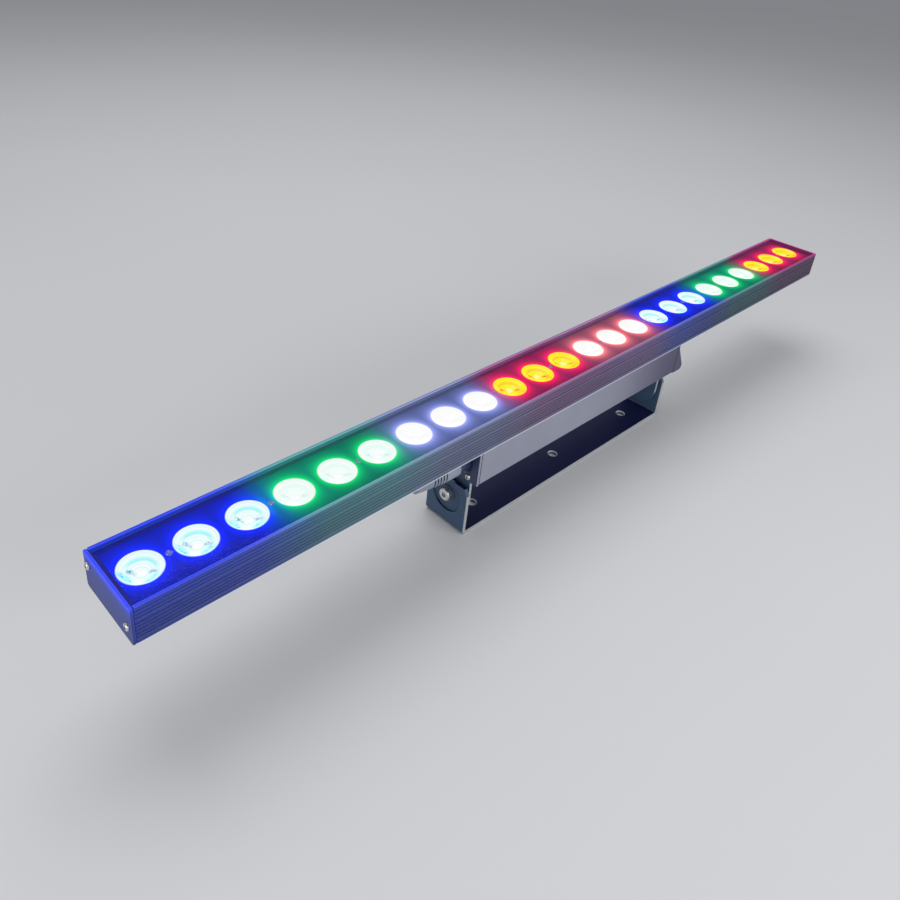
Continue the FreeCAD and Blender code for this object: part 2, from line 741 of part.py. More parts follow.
def make_outlet_cap(y):
    """A low screw cap over an outlet."""
    flange_face = box_half - pocket_depth + socket_flange_thickness
    start = Vector(box_centre_x + flange_face + cap_wall_gap, y, socket_z)
    cap = rod("x", start, outlet_cap_radius, outlet_cap_length)
    bore = rod("x", start, socket_barrel_radius + cap_wall_gap, outlet_cap_length - outlet_cap_top)
    return cap.cut(bore)


def make_sockets():
    """Signal connections at the front and power connections at the rear of both ends."""
    for word, y in (("signal", -socket_y), ("power", socket_y)):
        save(word + "_inlet", *make_socket(-1, y))
        save(word + "_inlet_cap", make_inlet_cap(y))
        save(word + "_outlet", *make_socket(1, y))
    save("outlet_caps", *[make_outlet_cap(y) for y in (-socket_y, socket_y)])


def button_places():
    """X of each button's centre."""
    return [first_button_x + i * button_pitch for i in range(button_count)]


def make_control_panel():
    """The plate behind the opening in the rear wall, with its display, circuit board and push buttons."""
    half_x, half_z = panel_width / 2, panel_height / 2
    plate = block(panel_centre_x - half_x, panel_centre_x + half_x, plate_back, plate_front, panel_z - half_z,
                  panel_z + half_z)
    posts = []
    for sx in (-1, 1):
        for sz in (-1, 1):
            x = panel_centre_x + sx * (half_x - button_board_post)
            z = panel_z + sz * (half_z - button_board_post)
            posts.append(block(x - button_board_post, x + button_board_post, switch_board_top, plate_back,
                               z - button_board_post, z + button_board_post))
    fit = lens_clearance
    half_w, half_h = display_width / 2, display_height / 2
    opening = block(display_x - half_w - fit, display_x + half_w + fit, plate_back, plate_front,
                    panel_z - half_h - fit, panel_z + half_h + fit)
    holes = [rod("y", Vector(x, plate_back, panel_z), button_radius + button_clearance, panel_plate_thickness)
             for x in button_places()]
    save("control_panel", cut_all(plate.fuse(posts), [opening] + holes))
    window_back = plate_front - display_window_thickness
    save("display_window", block(display_x - half_w, display_x + half_w, window_back, plate_front,
                                 panel_z - half_h, panel_z + half_h))
    save("display_module", block(display_x - half_w + fit, display_x + half_w - fit, switch_board_top,
                                 window_back, panel_z - half_h + fit, panel_z + half_h - fit))
    board = block(panel_centre_x - half_x, panel_centre_x + half_x, switch_board_top - button_board_thickness,
                  switch_board_top, panel_z - half_z, panel_z + half_z)
    switches = []
    for x in button_places():
        half = switch_body_size / 2
        body = block(x - half, x + half, switch_board_top, switch_board_top + switch_body_height,
                     panel_z - half, panel_z + half)
        plunger = rod("y", Vector(x, switch_board_top, panel_z), button_stem_radius,
                      switch_body_height + switch_plunger_height)
        switches += [body, plunger]
    save("button_board", board.fuse(switches).removeSplitter())
    for word, x in zip(("menu", "up", "down", "enter"), button_places()):
        flange_face = plate_back - button_back_gap
        seat = Vector(x, flange_face, panel_z)
        cap = rod("y", seat, button_radius, plate_front + button_stand_out - flange_face)
        flange = rod("y", seat, button_flange_radius, -button_flange_thickness)
        stem = rod("y", seat, button_stem_radius, button_stem_end - flange_face)
        rim = [e for e in cap.Edges if e.BoundBox.YLength < 0.01 and e.BoundBox.YMax > plate_front]
        cap = cap.makeFillet(button_stand_out / 2, rim)
        save(word + "_button", cap.fuse([flange, stem]).removeSplitter())


def make_electronics():
    """Power supply, driver board on standoffs, terminal block and vent, inside the control box."""
    x = supply_x
    half_x, half_y = supply_length / 2, supply_width / 2
    top = box_inner_bottom + supply_height
    case = block(x - half_x, x + half_x, -half_y, half_y, box_inner_bottom, top)
    in_x, in_y = half_x - supply_sheet, half_y - supply_sheet
    hollow = block(x - in_x, x + in_x, -in_y, in_y, box_inner_bottom + supply_sheet, top - supply_sheet)
    save("power_supply", case.cut(hollow))
    x = driver_x
    half_x, half_y = driver_length / 2, driver_width / 2
    driver_top = driver_bottom + driver_thickness
    board = block(x - half_x, x + half_x, -half_y, half_y, driver_bottom, driver_top)
    spots = [(x + sx * (half_x - driver_standoff_inset), sy * (half_y - driver_standoff_inset))
             for sx in (-1, 1) for sy in (-1, 1)]
    save("driver_standoffs", *[rod("z", Vector(a, b, box_inner_bottom), driver_standoff_radius,
                                   driver_standoff_height) for a, b in spots])
    places = [x + (i - (capacitor_count - 1) / 2) * capacitor_pitch for i in range(capacitor_count)]
    cans = [rod("z", Vector(a, 0, driver_top), capacitor_radius, capacitor_height) for a in places]
    save("driver_board", board, *cans)
    end = x + half_x - driver_standoff_inset - driver_standoff_radius - terminal_width
    blocks = block(end, end + terminal_width, -terminal_length / 2, terminal_length / 2, driver_top,
                   driver_top + terminal_height)
    pole = terminal_length / terminal_pole_count
    middle = Vector(end + terminal_width / 2, (pole - terminal_length) / 2, driver_top + terminal_height)
    wells = [rod("z", middle + AXES["y"] * (i * pole), terminal_screw_radius, -terminal_height / 2)
             for i in range(terminal_pole_count)]
    save("terminal_block", cut_all(blocks, wells))
    seat = Vector(vent_x, 0, box_bottom)
    inner_seat = seat + AXES["z"] * box_sheet
    head = rod("z", seat, vent_radius, -vent_thickness)
    thread = rod("z", seat, vent_thread_radius, box_sheet + vent_nut_thickness + end_play)
    nut = hexagon("z", inner_seat, vent_nut_radius, vent_nut_thickness)
    bore = rod("z", inner_seat, vent_thread_radius + pivot_clearance, vent_nut_thickness)
    save("vent_valve", head.fuse(thread).removeSplitter(), nut.cut(bore))


# ---------------------------------------------------------------- the bracket and its hinges


def make_bracket():
    """A folded U: base with three holes, two ears with bevelled corners and a dish round each pivot."""
    ear_top = pivot_height + ear_above_pivot
    x0, x1 = box_centre_x - bracket_half, box_centre_x + bracket_half
    half = bracket_width / 2
    outer = block(x0, x1, -half, half, 0, ear_top)
    outer = outer.makeFillet(bracket_bend_radius, [e for e in outer.Edges if e.BoundBox.YLength > half
                                                   and e.BoundBox.ZMax < 0.01])
    hollow = block(x0 + bracket_sheet, x1 - bracket_sheet, -half, half, bracket_sheet, ear_top)
    hollow = hollow.makeFillet(bracket_bend_radius - bracket_sheet,
                               [e for e in hollow.Edges if e.BoundBox.YLength > half
                                and e.BoundBox.ZMax < bracket_sheet + 0.01])
    bracket = outer.cut(hollow)
    low_bevel = ear_top - ear_chamfer_z
    tools = []
    for side in (-1, 1):
        bevel = [(side * half, low_bevel), (side * half, ear_top), (side * (half - ear_chamfer_y), ear_top)]
        tools.append(section(bevel, x0, x1))
    backs = []
    for end in (-1, 1):
        face = Vector(box_centre_x + end * bracket_half, 0, pivot_height)
        tools.append(rod("x", face, dish_radius, -end * dish_depth))
        inner = Vector(box_centre_x + end * ear_inner, 0, pivot_height)
        backs.append(rod("x", inner, dish_back_radius, -end * dish_depth))
        tools.append(rod("x", face, pivot_radius + pivot_clearance, -end * (bracket_sheet + dish_depth)))
        for angle in index_mark_angles:
            near = index_mark_circle - index_mark_length / 2
            half_mark = index_mark_width / 2
            mark = block(0, -end * index_mark_depth, near, near + index_mark_length, -half_mark, half_mark)
            mark.rotate(Vector(0, 0, 0), AXES["x"], -end * angle)
            mark.translate(Vector(box_centre_x + end * dish_floor, 0, pivot_height))
            tools.append(mark)
    for i in (-1, 0, 1):
        spot = Vector(box_centre_x + i * base_hole_spacing, 0, 0)
        tools.append(rod("z", spot, base_hole_radius, bracket_sheet))
        tools.append(Part.makeCone(base_hole_radius, base_hole_radius + base_hole_chamfer, base_hole_chamfer,
                                   spot + AXES["z"] * (bracket_sheet - base_hole_chamfer)))
    return cut_all(bracket.fuse(backs), tools)


def make_hinge_plate(end):
    """An angle under one end of the box: a round-ended leg on the pivot and a flange screwed to the box."""
    leg_out = box_centre_x + end * hinge_outer
    leg_in = box_centre_x + end * hinge_inner
    tip = box_centre_x + end * (hinge_inner - hinge_flange_length)
    flange_low = box_bottom - hinge_sheet
    leg = block(leg_out, leg_in, -hinge_half_width, hinge_half_width, pivot_height, box_bottom)
    foot = rod("x", Vector(leg_out, 0, pivot_height), hinge_half_width, -end * hinge_sheet)
    flange = block(leg_out, tip, -hinge_half_width, hinge_half_width, flange_low, box_bottom)
    plate = leg.fuse([foot, flange]).removeSplitter()
    corner = [e for e in plate.Edges if e.BoundBox.YLength > hinge_half_width
              and abs(e.BoundBox.Center.x - leg_out) < 0.01 and abs(e.BoundBox.Center.z - box_bottom) < 0.01]
    plate = plate.makeFillet(hinge_bend_radius, corner)
    inside = [e for e in plate.Edges if e.BoundBox.YLength > hinge_half_width
              and abs(e.BoundBox.Center.x - leg_in) < 0.01 and abs(e.BoundBox.Center.z - flange_low) < 0.01]
    plate = plate.makeFillet(hinge_bend_radius - hinge_sheet, inside)
    tools = [rod("x", Vector(leg_out, 0, pivot_height), pivot_radius + pivot_clearance, -end * hinge_sheet)]
    tools += [rod("z", Vector(x, y, flange_low), hinge_screw_radius + lens_clearance, hinge_sheet)
              for x, y in hinge_screw_places() if (x - box_centre_x) * end > 0]
    return cut_all(plate, tools)


def make_hinges():
    """Hinge plates with their screws and nuts; bolts, washers, nuts and friction discs of both pivots."""
    for end, word in ((-1, "left"), (1, "right")):
        save("hinge_plate_" + word, make_hinge_plate(end))
    screws, nuts = [], []
    for x, y in hinge_screw_places():
        length = hinge_sheet + box_sheet + clinch_nut_height
        screws.append(pan_screw("z", Vector(x, y, box_bottom - hinge_sheet), -1, hinge_screw_head_radius,
                                hinge_screw_head_height, hinge_screw_radius, length))
        seat = Vector(x, y, box_inner_bottom)
        bore = rod("z", seat, hinge_screw_radius + pivot_clearance, clinch_nut_height)
        nuts.append(rod("z", seat, clinch_nut_radius, clinch_nut_height).cut(bore))
    save("hinge_plate_screws", *screws)
    save("clinch_nuts", *nuts)
    bolts, washers, lock_nuts, discs = [], [], [], []
    for end in (-1, 1):
        def at(offset):
            return Vector(box_centre_x + end * offset, 0, pivot_height)

        seat = dish_floor + pivot_washer_thickness
        head = rod("x", at(seat), pivot_head_radius, end * pivot_head_height)
        top = at(seat + pivot_head_height)
        rim = [e for e in head.Edges if e.BoundBox.Center.distanceToPoint(top) < 0.01]
        head = head.makeFillet(pivot_head_height / 3, rim)
        socket = hexagon("x", top, pivot_socket_width / math.sqrt(3), -end * pivot_socket_depth)
        shank = rod("x", at(seat), pivot_radius, -end * (seat - bolt_end))
        bolts.append(head.fuse(shank).cut(socket).removeSplitter())
        bore = rod("x", at(bracket_half), pivot_radius + pivot_clearance, -end * (bracket_half - bolt_end))
        washers.append(rod("x", at(dish_floor), pivot_washer_radius, end * pivot_washer_thickness).cut(bore))
        washers.append(rod("x", at(nut_face), pivot_washer_radius, end * pivot_washer_thickness).cut(bore))
        lock_nuts.append(hexagon("x", at(nut_face), pivot_nut_radius, -end * pivot_nut_height).cut(bore))
        discs.append(rod("x", at(disc_outer), friction_disc_radius, -end * friction_disc_thickness).cut(bore))
    save("pivot_bolts", *bolts)
    save("pivot_washers", *washers)
    save("pivot_nuts", *lock_nuts)
    save("friction_discs", *discs)


os.makedirs("parts", exist_ok=True)
save("housing_extrusion", make_housing())
make_bar_ends()
make_front()
make_lenses()
make_light_boards()
make_panel_fixings()
save("control_box_shell", make_shell())
make_box_ends()
make_sockets()
make_control_panel()
make_electronics()
save("bracket", make_bracket())
make_hinges()
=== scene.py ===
"""Looks of the outdoor wall washer light: finishes, lit lenses, glow, marks, studio and camera. Metres."""

import json
import math

import bpy
import numpy as np
from mathutils import Matrix, Vector


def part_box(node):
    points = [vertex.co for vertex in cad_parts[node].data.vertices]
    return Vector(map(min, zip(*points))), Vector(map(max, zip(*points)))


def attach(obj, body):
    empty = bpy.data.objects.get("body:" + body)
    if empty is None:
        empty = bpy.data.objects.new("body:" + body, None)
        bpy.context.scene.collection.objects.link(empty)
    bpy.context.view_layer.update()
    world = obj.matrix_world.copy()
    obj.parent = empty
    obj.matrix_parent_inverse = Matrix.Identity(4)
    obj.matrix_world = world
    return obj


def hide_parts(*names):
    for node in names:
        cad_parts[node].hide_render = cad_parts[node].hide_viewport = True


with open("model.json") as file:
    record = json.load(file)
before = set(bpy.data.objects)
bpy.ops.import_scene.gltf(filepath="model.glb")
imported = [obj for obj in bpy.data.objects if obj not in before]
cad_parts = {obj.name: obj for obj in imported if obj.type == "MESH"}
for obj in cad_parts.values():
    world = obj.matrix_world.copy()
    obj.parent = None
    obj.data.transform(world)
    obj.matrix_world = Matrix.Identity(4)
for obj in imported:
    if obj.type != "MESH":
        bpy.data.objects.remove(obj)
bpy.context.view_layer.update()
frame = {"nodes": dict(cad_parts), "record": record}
MM = 0.001

# ------------------------------------------------------------------ sizes, most of them read from the CAD model

GROUPS = ("blue_1", "green_1", "cool_white", "red_1", "warm_white", "blue_2", "green_2", "red_2")
LENSES_PER_GROUP = 3
lens_low, lens_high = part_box("lenses_blue_1")
LENS_FOOT, LENS_FACE = lens_low[2], lens_high[2]
FLANGE_RADIUS = (lens_high[1] - lens_low[1]) / 2
LENS_PITCH = (lens_high[0] - lens_low[0] - 2 * FLANGE_RADIUS) / (LENSES_PER_GROUP - 1)
FLANGE_WIDTH = 0.95 * MM
LENS_RADIUS = FLANGE_RADIUS - FLANGE_WIDTH
LENS_COUNT = LENSES_PER_GROUP * len(GROUPS)
FIRST_LENS = lens_low[0] + FLANGE_RADIUS
PANEL_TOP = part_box("lens_panel")[1][2]
bar_low, bar_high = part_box("housing_extrusion")
BAR_BOTTOM, BAR_TOP = bar_low[2], bar_high[2]
BAR_HALF, BAR_END = bar_high[1], bar_high[0]
BAR_LENGTH = LENS_COUNT * LENS_PITCH
bracket_low, bracket_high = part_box("bracket")
BRACKET_HALF = bracket_high[1]
BRACKET_CENTRE = (bracket_low[0] + bracket_high[0]) / 2
BASE_HOLE_SPACING = 129 * MM
BASE_THICKNESS = 3.5 * MM
HINGE_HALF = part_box("hinge_plate_left")[1][1]
window_low, window_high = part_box("display_window")
DARK_BAND_WIDTH = 13 * MM
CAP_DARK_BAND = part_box("signal_inlet_cap")[1][0] - DARK_BAND_WIDTH
BUTTON_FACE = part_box("menu_button")[1][1]
SOURCE_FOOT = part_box("led_packages")[0][2]
RIPPLE_PITCH = 2.3 * MM
DOME_RADIUS = 4.6 * MM

# ------------------------------------------------------------------ colours of the lit groups, linear

GROUP_COLOURS = ("blue", "green", "cool_white", "red", "warm_white", "blue", "green", "red")
# painted glow at the lens rims, and on the panel between the lenses
RIM_GLOW = {
    "blue": (0.0, 0.01, 1.0), "green": (0.0, 0.52, 0.05), "cool_white": (0.22, 0.24, 0.62),
    "red": (1.0, 0.0, 0.03), "warm_white": (0.85, 0.16, 0.12)}
PANEL_GLOW = {
    "blue": (0.010, 0.022, 0.56), "green": (0.003, 0.22, 0.19), "cool_white": (0.12, 0.17, 0.44),
    "red": (0.27, 0.02, 0.14), "warm_white": (0.31, 0.08, 0.19)}
# painted glow of the lenses' light on the bar's lips, and down its sides
SPILL_GLOW = {
    "blue": (0.004, 0.014, 0.58), "green": (0.004, 0.25, 0.20), "cool_white": (0.14, 0.18, 0.44),
    "red": (0.34, 0.015, 0.16), "warm_white": (0.34, 0.09, 0.22)}
SIDE_GLOW = {
    "blue": (0.002, 0.016, 0.205), "green": (0.010, 0.085, 0.090), "cool_white": (0.040, 0.048, 0.095),
    "red": (0.065, 0.016, 0.060), "warm_white": (0.055, 0.020, 0.075)}
# in a lens: its bowl, the rings in it, its painted chip shadows and sparkle, the strength of its rings and marks,
# and its middle with the share of it
LENS_CORE = {
    "blue": (0.93, 1.0, 1.0), "green": (0.94, 1.0, 0.98), "cool_white": (1.0, 1.0, 1.0),
    "red": (1.0, 0.93, 0.0), "warm_white": (1.0, 1.0, 0.98)}
LENS_RING = {
    "blue": (0.12, 0.95, 1.0), "green": (0.45, 1.0, 0.80), "cool_white": (0.94, 0.97, 1.0),
    "red": (1.0, 0.50, 0.0), "warm_white": (1.0, 0.93, 0.88)}
LENS_SHADOW_AND_SPARKLE = {
    "blue": (0.0, 0.36, 0.68), "green": (0.05, 0.80, 0.60), "cool_white": (0.80, 0.88, 1.0),
    "red": (0.95, 0.03, 0.0), "warm_white": (1.0, 0.82, 0.74)}
MARKS = {"blue": 1.0, "green": 0.45, "cool_white": 0.05, "red": 1.0, "warm_white": 0.05}
WHITE_MIDDLE, RED_MIDDLE = ((1.0, 1.0, 1.0), 0.75), ((1.0, 1.0, 0.8), 0.5)

# ------------------------------------------------------------------ shader maths


class Sock:
    """A socket or a number, with arithmetic that adds Math nodes to its material."""

    def __init__(self, mat, value):
        self.mat, self.value = mat, value

    def math(self, operation, *others):
        """The result of a Math node on this value and the others."""
        return self.mat.node("ShaderNodeMath", {"operation": operation}, self, *others)

    def __add__(self, other):
        return self.math("ADD", other)

    __radd__ = __add__

    def __mul__(self, other):
        return self.math("MULTIPLY", other)

    __rmul__ = __mul__

    def __sub__(self, other):
        return self.math("SUBTRACT", other)

    def __rsub__(self, other):
        return Sock(self.mat, other).math("SUBTRACT", self)

    def __truediv__(self, other):
        return self.math("DIVIDE", other)

    def abs(self):
        return self.math("ABSOLUTE")

    def step(self, low, high):
        """0 at low and beyond, 1 at high and beyond, smooth between; low may be the larger of the two."""
        return self.mat.node("ShaderNodeMapRange", {"interpolation_type": "SMOOTHSTEP"}, self, low, high, 0.0, 1.0)

    def bump_at(self, centre, half_width):
        """1 at the centre, falling smoothly to 0 at half_width on either side."""
        return (self - centre).abs().step(half_width, 0.0)

    def falloff(self, distance):
        """1 at zero, falling exponentially: a factor e less for each distance."""
        return (self * (-1.0 / distance)).math("EXPONENT")

    def wrapped(self, pitch):
        """The value moved by whole pitches into the range of half a pitch either side of zero."""
        return self.math("WRAP", pitch / 2, -pitch / 2)

    def radius(self, other):
        """The length of the flat vector made by two values."""
        return (self * self + other * other).math("SQRT")


class Finish:
    """A node material with a Principled shader, whose plain values are given by name."""

    def __init__(self, name, **constants):
        self.material = bpy.data.materials.new(name)
        self.material.use_nodes = True
        self.tree = self.material.node_tree
        self.shader = self.tree.nodes["Principled BSDF"]
        for key, value in constants.items():
            self.set(key.replace("_", " ").title().replace("Ior", "IOR"), value)

    def node(self, kind, settings, *inputs, output=0, **named):
        """Adds a node: its settings first, then its sockets, by order or by name, as values or links."""
        node = self.tree.nodes.new(kind)
        for key, value in settings.items():
            if key == "stops":
                self.fill_ramp(node.color_ramp, value)
            else:
                setattr(node, key, value)
        for socket, value in zip(node.inputs, inputs):
            self.link(socket, value)
        for key, value in named.items():
            self.link(node.inputs[key.replace("_", " ")], value)
        return Sock(self, node.outputs[output])

    def link(self, socket, value):
        value = value.value if isinstance(value, Sock) else value
        if isinstance(value, bpy.types.NodeSocket):
            self.tree.links.new(value, socket)
        elif isinstance(value, (tuple, list)) and socket.type == "RGBA":
            socket.default_value = (*value[:3], 1.0)
        else:
            socket.default_value = value

    @staticmethod
    def fill_ramp(ramp, stops):
        while len(ramp.elements) < len(stops):
            ramp.elements.new(0.5)
        for element, (place, colour) in zip(ramp.elements, stops):
            element.position = place
            element.color = (*colour, 1.0)

    def set(self, name, value):
        self.link(self.shader.inputs[name], value)

    def place(self):
        """X, Y and Z of the point on the object."""
        xyz = self.node("ShaderNodeSeparateXYZ", {}, self.point())
        return tuple(Sock(self, o) for o in xyz.value.node.outputs)

    def point(self):
        return self.node("ShaderNodeTexCoord", {}, output=3)

    def stretched(self, x, y, z):
        """The point on the object, scaled apart along the axes."""
        return self.node("ShaderNodeMapping", {}, self.point(), Scale=(x, y, z))

    def noise(self, scale, detail=3.0, roughness=0.5, at=None):
        return self.node("ShaderNodeTexNoise", {}, at or self.point(), Scale=scale, Detail=detail,
                         Roughness=roughness)

    def mix(self, amount, low, high):
        """The colour low where amount is 0 and high where it is 1."""
        node = self.node("ShaderNodeMix", {"data_type": "RGBA"}).value.node
        for socket, value in zip((node.inputs[0], node.inputs[6], node.inputs[7]), (amount, low, high)):
            self.link(socket, value)
        return Sock(self, node.outputs[2])

    def times(self, colour, amount):
        """The colour made weaker or stronger by a value."""
        return self.node("ShaderNodeVectorMath", {"operation": "SCALE"}, colour, Scale=amount)

    def plus(self, first, second):
        return self.node("ShaderNodeVectorMath", {"operation": "ADD"}, first, second)

    def normal_part(self, axis):
        """How far the surface faces along X, Y or Z, from -1 to 1."""
        normal = self.node("ShaderNodeTexCoord", {}, output=1)
        return self.node("ShaderNodeSeparateXYZ", {}, normal, output="XYZ".index(axis))

    def bump(self, height, distance, strength):
        self.set("Normal", self.node("ShaderNodeBump", {}, strength, distance, Height=height))

    def edge_wear(self, radius):
        """1 on edges, where the normal bent over a small radius leaves the surface's own."""
        bevel = self.node("ShaderNodeBevel", {"samples": 4}, radius)
        normal = self.node("ShaderNodeNewGeometry", {}, output=1)
        dot = self.node("ShaderNodeVectorMath", {"operation": "DOT_PRODUCT"}, bevel, normal, output=1)
        return dot.step(0.99, 0.80)

    def crevice(self, distance):
        """1 in grooves and inner corners, 0 on open faces."""
        shade = self.node("ShaderNodeAmbientOcclusion", {"samples": 6}, Distance=distance, output=1)
        return shade.step(0.85, 0.35)


# ------------------------------------------------------------------ light along the bar


def group_colour(finish, x, colours, blend):
    """The colour of the lens group at x, changing over twice the blend length where two groups meet."""
    share = (x + BAR_LENGTH / 2) / BAR_LENGTH
    soft = blend / BAR_LENGTH
    stops = []
    for i, colour in enumerate(GROUP_COLOURS):
        start, end = i / len(GROUPS), (i + 1) / len(GROUPS)
        stops.append((start + soft * (i > 0), colours[colour]))
        stops.append((end - soft * (i < len(GROUPS) - 1), colours[colour]))
    return finish.node("ShaderNodeValToRGB", {"stops": stops}, share)


def lens_distance(finish):
    """Distance from the point to the axis of the nearest lens, seen from above."""
    x, y, _ = finish.place()
    return (x - FIRST_LENS).wrapped(LENS_PITCH).radius(y)


def lens_panel_paint():
    """Satin black plate with painted glow of each group's light, brightest at the lens rims and dimmer towards its
    long edges.
    """
    rim_reach, bowl_reach = 3.2 * MM, 14 * MM
    dark_edge, lit_middle = 34 * MM, 14 * MM
    paint = Finish("lens_panel_paint", base_color=(0.006, 0.007, 0.012), roughness=0.42, specular_ior_level=0.0,
                   emission_strength=1.0)
    x, y, _ = paint.place()
    gap = (lens_distance(paint) - LENS_RADIUS).math("MAXIMUM", 0.0)
    cloud = paint.noise(16.0, 3.0).step(0.25, 0.75)
    inner = y.abs().step(dark_edge, lit_middle)
    shade = (0.62 + 0.22 * cloud) * (0.62 + 0.38 * inner)
    far = paint.times(group_colour(paint, x, PANEL_GLOW, 22 * MM), shade)
    strength = gap.falloff(rim_reach) * 1.1 + gap.falloff(bowl_reach) * 0.28
    near = paint.times(group_colour(paint, x, RIM_GLOW, 8 * MM), strength)
    paint.set("Emission Color", paint.plus(far, near))
    paint.bump(paint.noise(1500.0, 2.0), 0.02 * MM, 0.3)
    return paint


def bar_finish():
    """Satin anodised extrusion: fine lines along X, painted shade towards its ends and on its lips' tops there, a
    painted highlight line on its lower edges, and painted glow of the lenses' light over its lips and down its
    sides.
    """
    lit_pool_shift, lit_pool_half, end_shade_half = 100 * MM, 120 * MM, 420 * MM
    glass_edge = BAR_HALF - 2.2 * MM
    side_reach, end_reach = 14 * MM, 3.5 * MM
    skin = Finish("bar_anodised", metallic=0.45, emission_strength=1.0)
    x, y, z = skin.place()
    lines = skin.noise(60.0, 4.0, 0.65, at=skin.stretched(0.35, 14.0, 14.0))
    cloud = skin.noise(9.0, 3.0)
    tone = skin.mix(cloud.step(0.3, 0.7), (0.058, 0.068, 0.105), (0.080, 0.092, 0.135))
    tone = skin.mix(lines.step(0.35, 0.75) * 0.3, tone, (0.15, 0.17, 0.22))
    # painted shade: the bar darkens away from a painted pool of light centred near x = -100 mm
    end_shade = (x + lit_pool_shift).abs().step(lit_pool_half, end_shade_half)
    tone = skin.mix(end_shade * 0.9, tone, (0.022, 0.028, 0.048))

    # painted shade on the lips' upper faces towards the ends, and a painted highlight line on the lower edges
    near_end = x.abs().step(BAR_LENGTH * 0.30, BAR_LENGTH * 0.46)
    drop = (BAR_TOP - z).math("MAXIMUM", 0.0)
    top = drop.step(1.0 * MM, 0.1 * MM)
    lip_tone_and_shade = skin.mix(near_end, (0.13, 0.14, 0.20), (0.012, 0.014, 0.03))
    tone = skin.mix(top, tone, lip_tone_and_shade)
    bottom = z.step(BAR_BOTTOM + 1.2 * MM, BAR_BOTTOM + 0.5 * MM)
    low_edge_highlight = bottom * y.abs().step(BAR_HALF - 1.6 * MM, BAR_HALF - 0.6 * MM)
    # edge wear, plus the painted highlight line on the lower edges
    worn_and_highlit = (skin.edge_wear(0.35 * MM) * 0.45).math("MAXIMUM", low_edge_highlight * 0.9)
    skin.set("Base Color", skin.mix(worn_and_highlit, tone, (0.46, 0.48, 0.54)))
    skin.set("Roughness", 0.38 + 0.14 * lines)
    skin.bump(lines, 0.03 * MM, 0.3)

    # painted glow of the lenses' light on the lips, beside the glass, on the walls above it and on the end plates'
    # tops
    lip = top * y.abs().step(BAR_HALF - 2.8 * MM, glass_edge) * (0.24 + 0.5 * near_end)
    glass_line = top * y.abs().bump_at(BAR_HALF - 2.3 * MM, 0.5 * MM) * 0.9
    above_glass = drop.step(5 * MM, 4 * MM)
    inner_wall = y.abs().step(glass_edge, BAR_HALF - 2.6 * MM) * above_glass * 0.45
    end_top = drop.falloff(end_reach) * x.abs().step(BAR_END - 0.2 * MM, BAR_END + 0.6 * MM) * 0.7
    spill = skin.times(group_colour(skin, x, SPILL_GLOW, 16 * MM), lip + glass_line + inner_wall + end_top)

    # painted glow of the lenses' light down the sides, weaker towards +X, none on the underside
    lit_part = skin.normal_part("Z").step(-0.9, -0.4) * (1.0 - 0.5 * x.step(40 * MM, 260 * MM))
    strength = (0.55 + 0.75 * drop.falloff(side_reach)) * lit_part
    side = skin.times(group_colour(skin, x, SIDE_GLOW, 30 * MM), strength)
    # the painted highlight on the lower edges also glows
    edge_highlight_glow = skin.times((0.22, 0.23, 0.27), low_edge_highlight)
    skin.set("Emission Color", skin.plus(skin.plus(spill, side), edge_highlight_glow))
    return skin


def glow_painted_rubber():
    """Black rubber beside the lit panel, with faint painted glow in each group's colour."""
    rubber = Finish("glow_painted_rubber", roughness=0.7, specular_ior_level=0.2, emission_strength=1.0)
    x, _, _ = rubber.place()
    rubber.set("Base Color", rubber.mix(rubber.noise(60.0), (0.008, 0.008, 0.010), (0.014, 0.014, 0.016)))
    shade = 0.30 + 0.14 * rubber.noise(35.0, 2.0)
    rubber.set("Emission Color", rubber.times(group_colour(rubber, x, SPILL_GLOW, 12 * MM), shade))
    return rubber


def panel_screw_glow():
    """Small screws between the lenses: painted glow in the panel's colours, with painted glints on their recesses.
    """
    screw = Finish("glow_painted_screw", roughness=0.3, metallic=0.6, emission_strength=1.0)
    x, _, _ = screw.place()
    screw.set("Base Color", screw.mix(screw.noise(500.0), (0.05, 0.05, 0.06), (0.14, 0.14, 0.16)))
    glint = screw.noise(900.0, 3.0, 0.6).step(0.56, 0.64)
    glow_tint = screw.times(group_colour(screw, x, PANEL_GLOW, 8 * MM), 0.9)
    screw.set("Emission Color", screw.mix(glint * 0.6, glow_tint, (0.75, 0.75, 0.85)))
    return screw


